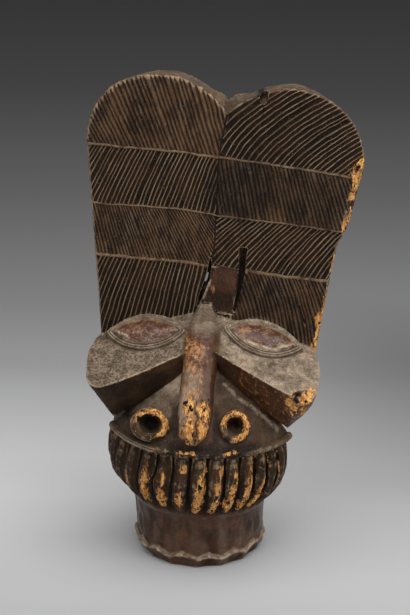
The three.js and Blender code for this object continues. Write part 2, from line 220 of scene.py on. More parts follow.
# Each block of hatching: side, row from the top, level it is measured from, then how its lines run.
# lean is the slope of the line at the seam, fan is how it changes across, and bend how it changes upwards.
# Crisp blocks have narrow ridges between wide grooves, and the others narrow grooves.
HATCHING = (
    dict(side=-1, row=0, level=303, lean=-0.36, fan=0.0014, bend=0.0, gap=6.4, crisp=False),
    dict(side=-1, row=1, level=213, lean=0.12, fan=-0.001, bend=0.0018, gap=6.5, crisp=True),
    dict(side=-1, row=2, level=134, lean=-0.65, fan=-0.0021, bend=0.0, gap=5.4, crisp=False),
    dict(side=-1, row=3, level=60, lean=0.05, fan=-0.0012, bend=0.001, gap=6.8, crisp=True),
    dict(side=1, row=0, level=302, lean=0.36, fan=0.0034, bend=0.0095, gap=8.8, crisp=True),
    dict(side=1, row=1, level=212, lean=-0.24, fan=-0.001, bend=0.0, gap=6.4, crisp=False),
    dict(side=1, row=2, level=134, lean=0.58, fan=-0.001, bend=0.005, gap=8.0, crisp=True),
    dict(side=1, row=3, level=45, lean=-0.25, fan=0.0, bend=-0.0035, gap=5.8, crisp=False),
)


def along(pairs, value):
    """Reads the second number of a line of pairs at each value of the first."""
    first, second = zip(*pairs)
    return np.interp(value, first, second)


def hatching(u, w):
    """Where each point lies among the crest's carved lines.

    The place counts the lines across a block, so there is a line wherever it is a whole number. The gap
    is how far apart they are. The row counts the raised lines upwards in the same way, and the side is
    the distance from the seam.
    """
    places = np.stack((u, w, np.zeros_like(u)), axis=1)
    u = u + 0.8 * wander(places, 22.0, 11)
    w = w + 0.9 * wander(places, 9.0, 12)
    place, gap, crisp, row = (np.zeros_like(u) for _ in range(4))
    top, bottom = np.full_like(u, CREST_TOP), np.full_like(u, CREST_BOTTOM)
    levels = [top, *(along(line, u) for line in SEPARATORS), bottom]
    side = u - along(SEAM, w)
    for number, block in enumerate(HATCHING):
        top, bottom = levels[block["row"]], levels[block["row"] + 1]
        inside = (w < top) & (w >= bottom) & (side * block["side"] > 0)
        place[inside], gap[inside] = line_place(block, u[inside], w[inside], number)
        crisp[inside] = block["crisp"]
        row[inside] = 3 - block["row"] + ((w - bottom) / (top - bottom))[inside]
    return place, gap, crisp, row, side


def line_place(block, u, w, seed):
    """Counts the lines of one block. Each is cut by hand, so it is a little off its place and slope."""
    rise = w - block["level"]
    spread = 1.0 + block["fan"] * rise
    start = (u - block["lean"] * rise - 0.5 * block["bend"] * rise ** 2) / spread
    slope = block["lean"] + block["fan"] * start + block["bend"] * rise
    gap = block["gap"] * spread / np.hypot(1.0, slope)
    count = start / block["gap"]
    line = np.floor(count).astype(int)
    dice = np.random.default_rng(100 + seed)
    offset = dice.uniform(-0.2, 0.2, 128)
    swing = dice.uniform(-0.0028, 0.0028, 128)
    here = offset[line % 128] + swing[line % 128] * rise
    there = offset[(line + 1) % 128] + swing[(line + 1) % 128] * rise
    return count - here - (there - here) * (count - line), gap


def line_cut(u, w):
    """How deep the crest's face is cut at each point by the carved lines and the small cracks."""
    place, gap, crisp, row, side = hatching(u, w)
    away = np.abs(place - np.round(place)) * gap
    cut = np.where(crisp > 0.5, CRISP_CUT * fade(away, 2.0, 0.2), FINE_CUT * fade(away, 0.2, 1.8))
    raised = fade(ROW_HEIGHT * np.abs(row - np.round(row)), 0.5, 3.0) * (row > 0.5) * (row < 3.5)
    cut = cut * (1.0 - raised) - 0.7 * raised
    cut = np.maximum(cut, 1.3 * fade(np.abs(side), 0.3, 2.0) * fade(w, 170.0, 150.0))
    for crack in CRACKS:
        cut = np.maximum(cut, 2.6 * fade(distance_to(crack, u, w), 0.3, 2.2))
    return cut


def distance_to(line, x, y):
    """How far points are from a line of straight stretches."""
    nearest = np.full_like(x, np.inf)
    for (x0, y0), (x1, y1) in zip(line, line[1:]):
        length = (x1 - x0) ** 2 + (y1 - y0) ** 2
        share = np.clip(((x - x0) * (x1 - x0) + (y - y0) * (y1 - y0)) / length, 0.0, 1.0)
        nearest = np.minimum(nearest, np.hypot(x - x0 - share * (x1 - x0), y - y0 - share * (y1 - y0)))
    return nearest


# The broken right edge of the crest: height, and how far across the bare wood begins
BROKEN_EDGE = (
    (20, 160), (45, 163), (80, 164), (108, 168), (128, 172), (140, 170), (155, 173), (168, 172),
    (180, 178), (192, 180), (205, 184), (216, 178), (226, 180), (236, 188), (250, 191), (256, 184),
    (266, 183), (280, 187), (290, 187), (298, 183), (308, 182), (318, 189), (328, 198), (340, 215),
)
# Bare spots in the head's frame: middle, then how far each reaches across, back and up
BARE_SPOTS = (
    ((-12, -136, 288), (13, 16, 18)),
    ((7, -140, 284), (12, 16, 24)),
    ((-8, -156, 264), (16, 18, 24)),
    ((8, -150, 256), (11, 16, 22)),
    ((-10, -152, 244), (12, 16, 12)),
    ((130, -112, 296), (9, 16, 17)),
    ((150, -112, 300), (12, 16, 18)),
    ((160, -104, 306), (8, 16, 12)),
    ((137, -106, 281), (8, 16, 18)),
    ((149, -100, 278), (6, 16, 12)),
    ((-10, -143, 217), (10, 9, 3.2)),
    ((-23, -142, 217), (5, 9, 2.6)),
    ((45, -136, 217), (6, 9, 3.2)),
    ((55, -131, 218), (4, 9, 3)),
)
# The teeth lie further from the neck's axis than this, and the neck nearer
JAW_INNER = 112.0
# Teeth: the angle of each around the jaw, and the heights between which they hang
TOOTH_DEGREES = np.array((
    -88, -76, -65, -54, -43, -31.5, -20, -8.5, 2, 12.5, 23, 33.5, 43.5, 53, 61.5, 69, 77,
))
TOOTH_TOP = 212.0
TOOTH_BOTTOM = 96.0
# Lip: how far its band is from the neck's axis, its height at the sides, and how far its middle sags
LIP_RADIUS = 144.0
LIP_HEIGHT = 217.0
LIP_SAG = 4.0
# Bare streaks on the teeth: the tooth's angle, lowest and highest point, half width, lean and how solid
BARE_TEETH = (
    (-43.0, 120, 160, 2.6, 0.0, -0.25),
    (-30.5, 112, 174, 4.5, 0.02, 0.1),
    (-19.3, 106, 152, 5.2, 0.02, 0.05),
    (-18.8, 150, 182, 2.8, 0.0, -0.05),
    (-8.3, 118, 150, 4.6, 0.0, 0.05),
    (-7.0, 182, 196, 4.6, 0.0, 0.0),
    (3.3, 108, 180, 5.2, 0.06, 0.3),
    (13.3, 108, 142, 5.4, 0.08, 0.1),
    (13.8, 140, 170, 4.8, 0.05, 0.0),
    (15.5, 178, 194, 4.2, 0.0, 0.0),
    (23.8, 108, 168, 5.8, 0.1, 0.25),
    (24.8, 168, 188, 3.4, 0.0, 0.0),
    (34.6, 122, 192, 5.2, 0.1, 0.3),
    (33.6, 110, 130, 3.4, 0.1, 0.0),
    (44.8, 112, 158, 6.0, 0.09, 0.4),
    (47.0, 146, 188, 4.4, 0.1, 0.15),
    (47.0, 196, 206, 2.2, 0.0, 0.0),
    (40.0, 198, 206, 2.0, 0.0, -0.1),
    (58.0, 140, 192, 2.0, 0.0, 0.1),
    (66.0, 146, 190, 1.6, 0.0, 0.1),
)
# How far round to the left the foot of each tooth swings, as in the CAD model
TOOTH_STRAIGHT = 30.0
TOOTH_SWING_RATE = 0.0022
TOOTH_MOST_SWING = 16.0
# Nostrils: middle of each ring in the head's frame, its width, the first and last of the stretch of it that
# is bare, in degrees from the top, clockwise, how broad that stretch is, and the radius of the dark hole
NOSTRIL_LIFT = math.radians(24)
NOSTRILS = (
    dict(middle=(-71.5, -126, 251), width=1.18, first=-80, last=150, breadth=0.9, hole=13.0),
    dict(middle=(52.5, -126, 257), width=0.92, first=-85, last=172, breadth=1.45, hole=8.5),
)
NOSTRIL_RING = 19.5


def nose_split(surface):
    """The gap between the two bare halves of the nose's tip, painted dark as shade, from 0 to 1."""
    beside = np.abs(surface.x + 4.0 + 4.0 * wander(surface.head, 12.0, 100))
    reach = 1.6 + 1.4 * wander(surface.head, 8.0, 101)
    place = fade(surface.y, -60.0, -40.0) * fade(surface.z, 296.0, 304.0) * fade(surface.z, 234.0, 228.0)
    return fade(beside, 0.3 * reach, reach + 0.6) * place


def head_distance(surface, middle, reach):
    """Distance from a place in the head's frame, where 1 is its reach across, back and up."""
    return np.linalg.norm((surface.head - middle) / reach, axis=1)


def crest_distance(surface, middle, reach):
    """Distance from a place on the crest, where 1 is its reach across and up."""
    return np.hypot((surface.u - middle[0]) / reach[0], (surface.w - middle[1]) / reach[1])


def bare_wood(surface):
    """Positive where the patina has broken off the pale wood, and about -1 far from any such place."""
    field = np.full(len(surface.points), -1.0)
    on_board = fade(surface.w, 15.0, 5.0) * fade(surface.behind, -6.0, -12.0)
    edge = (surface.u - along(BROKEN_EDGE, surface.w)) / 9.0
    edge = np.clip(edge, -1.0, 0.8) - 2.0 * fade(surface.behind, 26.0, 12.0)
    field = np.maximum(field, np.where(on_board > 0.5, edge, -1.0))
    for middle, reach in BARE_SPOTS:
        field = np.maximum(field, 0.9 - 1.1 * head_distance(surface, middle, reach))
    field = np.maximum(field, bare_teeth(surface) + 0.1)
    for nostril in NOSTRILS:
        field = np.maximum(field, bare_nostril(surface, nostril))
    return np.clip(field, -1.0, 1.0)


def bare_teeth(surface):
    """The same for the streaks on the teeth."""
    field = np.full(len(surface.points), -1.0)
    face = (surface.z > 95.0) & (surface.z < 208.0) & (surface.radius > JAW_INNER) & (surface.y < -20.0)
    turn, z, radius = hanging_turn(surface)[face], surface.z[face], surface.radius[face]
    best = field[face]
    for degrees, low, high, half, lean, solidity in BARE_TEETH:
        middle = 0.5 * (low + high)
        across = np.radians(turn - degrees) * radius - lean * (z - middle)
        away = np.hypot(across / (1.35 * half), (z - middle) / (0.6 * (high - low)))
        best = np.maximum(best, 0.75 + solidity - 1.1 * away)
    field[face] = best
    return field


def hanging_turn(surface):
    """The angle around the jaw at which a line that hangs down through each point starts."""
    down = np.clip((TOOTH_TOP - surface.z) / (TOOTH_TOP - TOOTH_BOTTOM), 0.0, 1.0)
    turn = surface.turn
    for _ in range(6):
        leftwards = np.maximum(0.0, TOOTH_STRAIGHT - turn)
        turn = surface.turn + np.minimum(TOOTH_MOST_SWING, TOOTH_SWING_RATE * leftwards ** 2) * down
    return turn


def tooth_gaps(surface):
    """The gaps between the teeth, from 0 to 1, carved in and painted dark as shade. They widen downwards,
    where the teeth taper.
    """
    middles = 0.5 * (TOOTH_DEGREES[1:] + TOOTH_DEGREES[:-1])
    middles = np.concatenate(([TOOTH_DEGREES[0] - 6.0], middles, [TOOTH_DEGREES[-1] + 5.0]))
    turn = hanging_turn(surface) + 1.2 * wander(surface.head, 30.0, 61)
    right = np.clip(np.searchsorted(middles, turn), 1, len(middles) - 1)
    apart = np.minimum(np.abs(turn - middles[right - 1]), np.abs(turn - middles[right]))
    away = np.radians(apart) * surface.radius
    half = 2.6 + 3.8 * fade(surface.z, TOOTH_BOTTOM, 160.0) + 1.6 * fade(surface.z, TOOTH_TOP, 186.0)
    jaw = fade(surface.z, TOOTH_BOTTOM + 2.0, TOOTH_BOTTOM - 2.0)
    jaw = jaw * fade(surface.z, TOOTH_TOP - 5.0, TOOTH_TOP)
    jaw = jaw * fade(surface.radius, JAW_INNER, 104.0) * fade(np.abs(surface.turn), 98.0, 108.0)
    return jaw * fade(away / half, 0.35, 1.0)


def above_lip(surface):
    """How high each point is above the lip's band."""
    return surface.z - (LIP_HEIGHT - LIP_SAG * np.cos(np.radians(surface.turn)))


def lip_band(surface):
    """The lip's raised band, from 0 to 1, and the groove under it. The middle of the band is broken."""
    above = above_lip(surface)
    near = fade(np.abs(surface.radius - LIP_RADIUS), 7.0, 12.0) * fade(np.abs(surface.turn), 64.0, 70.0)
    whole = fade(surface.turn, -28.0, -22.0) + 0.45 * fade(surface.turn, 34.0, 26.0)
    band = near * fade(np.abs(above), 2.0, 5.0) * whole
    middle = fade(np.abs(above - 1.0), 0.2, 1.4) * fade(surface.turn, -28.0, -22.0)
    groove = near * np.maximum(fade(np.abs(above + 7.5), 0.8, 3.2), 0.6 * middle)
    return band, groove


def broken_lip(surface):
    """The broken middle of the lip and the shadowed foot of the muzzle, from 0 to 1."""
    middle = fade(surface.turn, -16.0, -20.0) * fade(surface.turn, 34.0, 48.0)
    near = fade(np.abs(surface.radius - LIP_RADIUS), 16.0, 24.0)
    return middle * near * fade(np.abs(above_lip(surface) - 2.0), 8.0, 16.0)


# Rim: the zigzag ridge around the foot of the neck
RIM_TEETH = 15
RIM_MIDDLE = 19.0
RIM_SWING = 4.0
RIM_OFFSET = 2.0


def above_rim(surface):
    """How high each point of the rim is above its zigzag ridge. It is far off anywhere else."""
    x = surface.points[:, 0] - RIM_OFFSET
    y = surface.points[:, 1]
    turns = (np.arctan2(x, -y) + math.pi) * RIM_TEETH / (2.0 * math.pi)
    turns = turns + 0.12 * wander(surface.points, 34.0, 73)
    swing = 4.0 * np.abs(turns - np.floor(turns + 0.5)) - 1.0
    ridge = RIM_MIDDLE - RIM_SWING * swing + 3.5 * wander(surface.points, 26.0, 71)
    return np.where(np.hypot(x, y) > 86.0, surface.height - ridge, 99.0)


def nostril_frame(surface, nostril):
    """Distance from the ring's axis, angle round it from the top, and height along the axis."""
    offset = (surface.head - nostril["middle"]) / (nostril["width"], 1.0, 1.0)
    offset = offset + 1.5 * wander(surface.head, 12.0, 81)[:, None]
    upward = offset[:, 2] * math.cos(NOSTRIL_LIFT) + offset[:, 1] * math.sin(NOSTRIL_LIFT)
    outward = -offset[:, 1] * math.cos(NOSTRIL_LIFT) + offset[:, 2] * math.sin(NOSTRIL_LIFT)
    return np.hypot(offset[:, 0], upward), np.degrees(np.arctan2(offset[:, 0], upward)), outward


def worn_nostril(surface):
    """The lower left of the viewer's left ring is worn down."""
    distance, angle, outward = nostril_frame(surface, NOSTRILS[0])
    turned = np.abs((angle + 135.0 + 180.0) % 360.0 - 180.0)
    ring = fade(np.abs(distance - NOSTRIL_RING), 4.0, 9.0) * fade(outward, -7.0, -11.0)
    return 6.5 * ring * fade(turned, 50.0, 95.0)


def nostril_shade(surface):
    """The painted shade in the nostrils' holes, from 0 to 1. It is deepest towards the top of each bowl."""
    dark = np.zeros(len(surface.points))
    for nostril in NOSTRILS:
        size = nostril["hole"]
        distance, angle, outward = nostril_frame(surface, nostril)
        high = distance * np.cos(np.radians(angle))
        right = distance * np.sin(np.radians(angle)) * nostril["width"]
        around = np.hypot(high - 3.0, right - 2.0)
        hole = fade(around, size - 4.0, size) * fade(distance, 15.0, 17.5)
        hole *= fade(np.abs(outward + 15.0), 13.0, 17.0)
        dark = np.maximum(dark, hole)
    return dark


def bare_nostril(surface, nostril):
    """The same for the bare stretch of a nostril's ring."""
    distance, angle, outward = nostril_frame(surface, nostril)
    share = (angle - nostril["first"]) / (nostril["last"] - nostril["first"])
    breadth = nostril["breadth"]
    reach = breadth * (3.4 + 5.4 * fade(share, 0.75, 0.1)) * (1.0 + 0.4 * wander(surface.head, 7.0, 84))
    ring = 1.0 - np.abs(distance - NOSTRIL_RING + 4.0 * (breadth - 1.0)) / reach
    stretch = 1.0 - 1.8 * np.abs(share - 0.5)
    return np.where(outward > -9.0, np.minimum(0.75 * ring, 1.3 * stretch), -1.0)


# Eyes in the head's frame: middle of the almond, the way along it, and how it tips outwards
EYES = (
    ((-87, -47, 362.5), (-62, 9, -9), -0.015),
    ((84, -45, 363.5), (60, 1, -14), 0.02),
)
EYE_ACROSS = (0.0, 0.84, 0.5)
EYE_HALF_LENGTH = 62.0
EYE_HALF_WIDTH = 33.0
# Cuts along the lower rim: distance inside the outline, and depth
EYE_LINES = ((1.0, 1.2), (4.8, 0.9), (8.6, 1.0))


def eye_frame(surface, middle, way, tip):
    """Places along, across and above an eye, and how far inside the almond's outline they are."""
    way = Vector(way)
    above = way.cross(Vector(EYE_ACROSS)).normalized()
    if above.z < 0:
        above.negate()
    above.x += tip
    ahead = above.cross(way).normalized()
    if ahead.y < 0:
        ahead.negate()
    offset = surface.head - middle
    x = offset @ np.array(way.normalized())
    y = offset @ np.array(ahead)
    height = offset @ np.array(above.normalized())
    bow = (EYE_HALF_LENGTH ** 2 + EYE_HALF_WIDTH ** 2) / (2.0 * EYE_HALF_WIDTH)
    inside = bow - np.hypot(x, np.abs(y) + bow - EYE_HALF_WIDTH)
    return x, y, height, inside


def eyes(surface):
    """How far each point is inside an eye's outline, and how much it is on its lower rim, lens and the
    painted glint along the lens.
    """
    within = np.full(len(surface.points), -20.0)
    lid = np.zeros(len(surface.points))
    lens = np.zeros(len(surface.points))
    painted_glint = np.zeros(len(surface.points))
    for eye in EYES:
        x, y, height, inside = eye_frame(surface, *eye)
        near = fade(np.abs(height), 9.0, 14.0)
        within = np.where((near > 0.0) & (inside > -15.0), inside, within)
        lid = np.maximum(lid, near * (0.25 + 0.75 * fade(y, -4.0, 8.0)))
        lens = np.maximum(lens, near * fade(inside, 14.5, 11.5))
        # Painted highlight: a pale streak along the lower edge of the lens, on the outer part of each eye
        streak = fade(np.abs(inside - 15.0 + 3.0 * wander(surface.head, 20.0, 102)), 0.6, 2.6)
        painted_glint = np.maximum(painted_glint, near * streak * fade(y, -6.0, 2.0) * fade(surface.z, 366.0, 374.0))
    painted_glint = painted_glint * np.maximum(fade(surface.x, 70.0, 40.0), fade(surface.x, -118.0, -104.0))
    return within, lid, lens, painted_glint


def on_cheeks(surface):
    """The cheeks, from 0 to 1."""
    upper = fade(surface.x, 26.0, 21.0) * fade(surface.z, 340.0, 325.0)
    right = np.maximum(fade(surface.x, 34.0, 26.0), upper)
    place = np.where(surface.x > 0.0, right, fade(surface.x, -34.0, -26.0))
    foot = np.where(surface.x > 0.0, 314.0 - 0.87 * (surface.x - 28.0), 286.0)
    place = place * fade(surface.z, foot + 6.0, foot - 2.0) * fade(surface.z, 400.0, 420.0)
    return place * fade(surface.y, -19.0, -14.0)


def shelf(surface):
    """The sloping tops of the cheeks, from 0 to 1."""
    return on_cheeks(surface) * fade(surface.upward, 0.65, 0.4)


def bridge(surface):
    """The dusty wood between the top of the nose and the crest's split, from 0 to 1."""
    place = fade(np.abs(surface.x), 36.0, 48.0) * fade(surface.z, 384.0, 364.0)
    return place * fade(surface.behind, -7.0, -3.0)


# Growth rings that show in the dust on the viewer's right cheek
SWIRL = (108.0, -87.0, 334.0)
SWIRL_STEP = 1.3

# Middle and reach of the second split in the crest, across and up the board
SECOND_SPLIT = ((43.5, 116.0), (7.0, 56.0))

# Hole in the broken corner of the viewer's right cheek, and worn places: on that corner, on the right eye
# and, in the crest's frame, beside the split
CORNER_HOLE = ((141.0, -113.0, 301.0), (7.5, 12.0, 9.5))
WORN_CORNER = ((142.0, -108.0, 284.0), (34.0, 40.0, 44.0))
WORN_EYE = ((92.0, -52.0, 362.0), (34.0, 40.0, 12.0))
WORN_PATCH = ((3.0, 96.0), (9.0, 15.0))


def swirl(surface):
    """The growth rings in the dust, from 0 to 1."""
    away = head_distance(surface, SWIRL, (1.5, 1.0, 1.0)) + 2.4 * wander(surface.head, 12.0, 91)
    return fade(away, 8.0, 26.0) * shelf(surface) * (0.5 + 0.5 * np.sin(away / SWIRL_STEP))


def corner_hole(surface):
    """The hole in the broken corner, from 0 to 1, carved in and painted dark as shade."""
    away = head_distance(surface, *CORNER_HOLE)
    return fade(away + 0.5 * wander(surface.head, 5.0, 93), 0.6, 1.2)


def weathering(surface, bare):
    """How far wear, tool marks and cracks move each point outwards."""
    points = surface.points
    move = 0.45 * rough(points, 15.0, 21) + 0.16 * rough(points, 4.0, 24, 2)
    dents = fade(np.abs(wander(points, 11.0, 29)), 0.0, 0.3)
    move -= 0.35 * dents * fade(surface.w, 20.0, -10.0)
    stipple = wander(points, 3.6, 27) + 0.6 * wander(points, 1.9, 28)
    left = fade(surface.x, -100.0, 60.0)
    move += shelf(surface) * (0.15 + 0.75 * left) * 0.5 * stipple
    move -= 0.35 * swirl(surface)
    move += 0.6 * bridge(surface) * stipple
    tall = points * (1.0, 1.0, 0.09)
    streak = wander(tall, 3.4, 31)
    behind = fade(surface.normals[:, 1], 0.5, 0.0) * fade(surface.z, 120.0, 90.0)
    move += (0.12 + 0.25 * behind) * streak
    crack = fade(np.abs(wander(tall, 15.0, 33)), 0.0, 0.035) * fade(wander(points, 60.0, 34), 0.3, 0.0)
    move -= crack * (0.4 + 0.9 * behind)
    broken = fade(bare, 0.15, -0.1)
    move += broken * (0.8 * rough(points * (1.0, 1.0, 0.3), 5.0, 35) - 1.1)
    lumps = fade(surface.height, 34.0, 46.0) * fade(surface.radius, 92.0, 86.0)
    for nostril in NOSTRILS:
        distance, _, outward = nostril_frame(surface, nostril)
        ring = fade(np.abs(distance - NOSTRIL_RING), 6.0, 12.0) * fade(outward, -9.0, -14.0)
        move += 1.3 * ring * wander(points, 7.0, 85)
    foot = fade(surface.height, 12.0, 24.0)
    return move + (1.3 + 1.2 * foot) * lumps * wander(points, 13.0, 36)


def carving(surface):
    """How far each point of the plain block moves outwards to become the carved and worn surface."""
    front = surface.on_crest_front()
    bare = bare_wood(surface)
    whole = fade(bare, -0.2, 0.3)
    within, lid, _, _ = eyes(surface)
    move = weathering(surface, bare) * (1.0 - 0.6 * front * whole)
    move -= front * whole * line_cut(surface.u, surface.w)
    for place, depth in EYE_LINES:
        move -= depth * lid * fade(np.abs(within - place), 0.3, 2.0)
    move -= 4.0 * tooth_gaps(surface)
    band, groove = lip_band(surface)
    move += 2.2 * band - 2.4 * groove
    rim = fade(np.abs(above_rim(surface)), 0.5, 7.0)
    lumps = 0.7 * wander(surface.points, 18.0, 72) + 0.6 * wander(surface.points, 8.0, 104)
    move += 2.8 * rim * (1.0 + lumps)
    move -= worn_nostril(surface) + 4.5 * corner_hole(surface)
    seated = fade(surface.height, 4.0, 0.5)
    return move * seated


def block_of_wood():
    """The solid of the CAD model as an even, fine mesh, its facets rounded off."""
    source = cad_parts["mask"]
    wood = bpy.data.objects.new("mask_wood", source.data.copy())
    bpy.context.scene.collection.objects.link(wood)
    remesh = wood.modifiers.new("even", "REMESH")
    remesh.mode = "VOXEL"
    remesh.voxel_size = VOXEL * MM
    apply_modifiers(wood)
    round_off(wood)
    return wood


def apply_modifiers(thing):
    """Makes what the modifiers show into the object's own mesh."""
    bpy.context.view_layer.update()
    graph = bpy.context.evaluated_depsgraph_get()
    mesh = bpy.data.meshes.new_from_object(thing.evaluated_get(graph))
    thing.modifiers.clear()
    old = thing.data
    thing.data = mesh
    bpy.data.meshes.remove(old)


def smoothed(thing, steps, group=""):
    smooth = thing.modifiers.new("smooth", "SMOOTH")
    smooth.factor = 0.5
    smooth.iterations = steps
    smooth.vertex_group = group
    apply_modifiers(thing)


def round_off(wood):
    """Rounds the block's facets, least on the flat crest and its edges."""
    surface = Surface(wood.data)
    softness = 1.0 - 0.75 * fade(surface.w, 20.0, 0.0) * fade(surface.behind, -3.0, -8.0)
    softness *= 1.0 - 0.7 * fade(np.abs(surface.height - 20.0), 22.0, 30.0)
    softness *= 1.0 - 0.5 * fade(np.abs(surface.z - 158.0), 64.0, 74.0)
    softness *= fade(surface.height, 5.0, 1.0)
    group = wood.vertex_groups.new(name="soft")
    levels = np.round(softness * SOFTNESS_LEVELS).astype(int)
    for level in range(1, SOFTNESS_LEVELS + 1):
        members = np.flatnonzero(levels == level)
        group.add(members.tolist(), level / SOFTNESS_LEVELS, "REPLACE")
    smoothed(wood, ROUNDING_STEPS, "soft")
    wood.vertex_groups.clear()


def carve(wood):
    """Moves the block's points to the carved surface. None goes below the floor."""
    surface = Surface(wood.data)
    add_values(wood.data, "facing", surface.facing)
    places = surface.points + surface.normals * carving(surface)[:, None]
    places[:, 2] = np.maximum(places[:, 2], 0.0)
    wood.data.vertices.foreach_set("co", ((places + NECK_AXIS) * MM).astype(np.float32).ravel())
    wood.data.update()


def note_relief(wood, name, steps):
    """Keeps how far each point stands above the surface around it, in millimetres."""
    sharp = read_vectors(wood.data.vertices, "co")
    normals = read_vectors(wood.data.vertex_normals, "vector")
    copy = bpy.data.objects.new("blurred", wood.data.copy())
    bpy.context.scene.collection.objects.link(copy)
    smoothed(copy, steps)
    blurred = read_vectors(copy.data.vertices, "co")
    relief = np.einsum("ij,ij->i", sharp - blurred, normals) / MM
    add_values(wood.data, name, relief)
    bpy.data.objects.remove(copy)


def add_values(mesh, name, values):
    attribute = mesh.attributes.get(name) or mesh.attributes.new(name, "FLOAT", "POINT")
    attribute.data.foreach_set("value", np.asarray(values, np.float32))


def thin_out(wood):
    """Brings the mesh down to the triangles that it may have, and keeps its detail."""
    triangles = 2 * len(wood.data.polygons)
    decimate = wood.modifiers.new("thin", "DECIMATE")
    decimate.ratio = min(1.0, MOST_TRIANGLES / triangles)
    decimate.use_collapse_triangulate = True
    apply_modifiers(wood)


def note_colours(wood):
    """Keeps on each point what its wood has been through, and where shade and glints are painted, for the
    material to read.
    """
    mesh = wood.data
    surface = Surface(mesh)
    facing = np.empty(len(mesh.vertices), np.float32)
    mesh.attributes["facing"].data.foreach_get("value", facing)
    surface.facing = facing
    place, gap, crisp, row, side = hatching(surface.u, surface.w)
    bare = bare_wood(surface)
    within, lid, lens, painted_glint = eyes(surface)
    _, under_lip = lip_band(surface)
    hole = corner_hole(surface)
    cracks = np.min([distance_to(crack, surface.u, surface.w) for crack in CRACKS], axis=0)
    front = surface.on_crest_front()
    chip = fade(crest_distance(surface, CHIP, (1.0, 1.0)), 4.0, 9.0) * fade(surface.w, 360.0, 350.0)
    cracks = np.maximum(front * fade(cracks, 0.6, 2.4), 0.9 * chip)
    split = nose_split(surface) * fade(bare, 0.0, -0.4)
    away = crest_distance(surface, *SECOND_SPLIT)
    shade = 0.75 * fade(away, 0.6, 1.1) * fade(surface.behind, 18.0, 24.0)
    # Painted shade in these cuts: gaps between the teeth, the nostrils' holes, the groove under the lip, the
    # crest's cracks and chip, the corner's hole, the nose's split and the second split's gouge
    cuts = (tooth_gaps(surface), nostril_shade(surface), under_lip, cracks, hole, split, shade)
    beside_eyes = fade(within, -3.0, 0.0)
    in_eyes = fade(within, 9.0, 5.0)
    left = fade(surface.x, -30.0, 40.0)
    notes = {
        "line_place": place,
        "line_gap": gap,
        "line_crisp": crisp,
        "line_row": row,
        "line_side": np.clip(side, -12.0, 12.0),
        "crest_front": front,
        "eye_within": within,
        "eye_lid": lid,
        "cut": np.max(cuts, axis=0),
        "bare": bare - 2.0 * hole - 2.0 * split,
        "lens": lens,
        "red": redness(surface, lens),
        "worn": wear(surface),
        "dusty": dustiness(surface, lens) * (1.0 - 0.25 * in_eyes),
        "dark": darkness(surface),
        # Pale edges, worn and painted as highlights, with the painted glints in the lenses
        "pale": np.maximum(pale_edges_and_highlights(surface) * beside_eyes, painted_glint),
        "pitted": shelf(surface) * (0.15 + 0.85 * left) * beside_eyes,
    }
    for name, values in notes.items():
        add_values(mesh, name, values)


def cheek_front(surface):
    """The front of the viewer's right cheek, from 0 to 1."""
    place = fade(surface.x, 60.0, 20.0) * fade(surface.y, -60.0, -40.0) * fade(surface.z, 240.0, 220.0)
    return place * fade(surface.upward, 0.1, 0.4)


def near_board(surface):
    """1 on the crest's face and behind it, and 0 from 6 mm in front of it."""
    return fade(surface.behind, -2.0, -6.0)


def on_neck(surface):
    """The neck, from 0 to 1."""
    return fade(surface.z, 92.0, 104.0) * fade(surface.radius, JAW_INNER, 118.0)


def neck_stains(surface):
    """Upright dark stains on the neck, from 0 to 1."""
    broad = wander(surface.points * (1.0, 1.0, 0.5), 13.0, 98)
    fine = wander(surface.points * (1.0, 1.0, 0.3), 5.0, 103)
    return fade(broad + 0.6 * fine, 0.35, -0.15) * fade(surface.z, 82.0, 92.0)


def redness(surface, lens):
    """Where the patina is reddish brown: eyes, nose, neck, right cheek, and the patch above the nose."""
    neck = on_neck(surface) * (0.9 - 0.6 * neck_stains(surface))
    patch = fade(np.abs(surface.u - 20.0), 18.0, 30.0) * fade(np.abs(surface.w - 116.0), 14.0, 30.0)
    patch = 0.6 * patch * near_board(surface)
    return np.max((0.9 * lens, neck, 0.9 * on_nose(surface), patch, 0.6 * cheek_front(surface)), axis=0)


def on_muzzle(surface):
    """The sloping front between the cheeks and the lip, from 0 to 1."""
    place = fade(np.abs(surface.x), 110.0, 130.0) * fade(surface.y, -50.0, -30.0)
    place = place * fade(np.abs(surface.z - 270.0), 55.0, 75.0)
    return place * fade(surface.upward, 0.45, 0.2)


def beside_nose(surface):
    """The shaded hollows on both sides of the nose's tip and below the left nostril, from 0 to 1."""
    beside = fade(np.abs(np.abs(surface.x + 6.0) - 29.0), 4.0, 11.0) * fade(surface.z, 262.0, 284.0)
    foot = fade(surface.x, -16.0, -4.0) * fade(surface.z, 236.0, 246.0)
    return np.maximum(0.95 * beside, 0.7 * foot)


def on_nose(surface):
    """The nose, from 0 to 1."""
    front = fade(np.abs(surface.x + 4.0), 22.5, 26.0) * fade(surface.y, -60.0, -40.0)
    front = front * np.maximum(fade(surface.x, 11.0, 17.0), fade(surface.z, 330.0, 344.0))
    return front * fade(surface.z, 236.0, 228.0) * fade(surface.z, 376.0, 390.0)


def wear(surface):
    """Where handling has worn the patina through to a lighter brown, in flakes."""
    nose = on_nose(surface) * fade(surface.z, 362.0, 384.0) * (0.4 + 0.6 * fade(surface.x, -2.0, 12.0))
    corner = head_distance(surface, *WORN_CORNER)
    cheek = 0.62 * fade(corner, 0.6, 1.2) * fade(surface.upward, 0.3, 0.6)
    front = 0.56 * cheek_front(surface)
    patch = 0.68 * fade(crest_distance(surface, *WORN_PATCH), 0.3, 1.2) * near_board(surface)
    eye = head_distance(surface, *WORN_EYE)
    teeth = 0.35 * fade(surface.z, 98.0, 92.0) * fade(surface.z, 205.0, 212.0)
    teeth = teeth * fade(surface.radius, 122.0, JAW_INNER)
    return np.max((0.74 * nose, cheek, front, patch, 0.4 * fade(eye, 0.5, 1.1), teeth), axis=0)


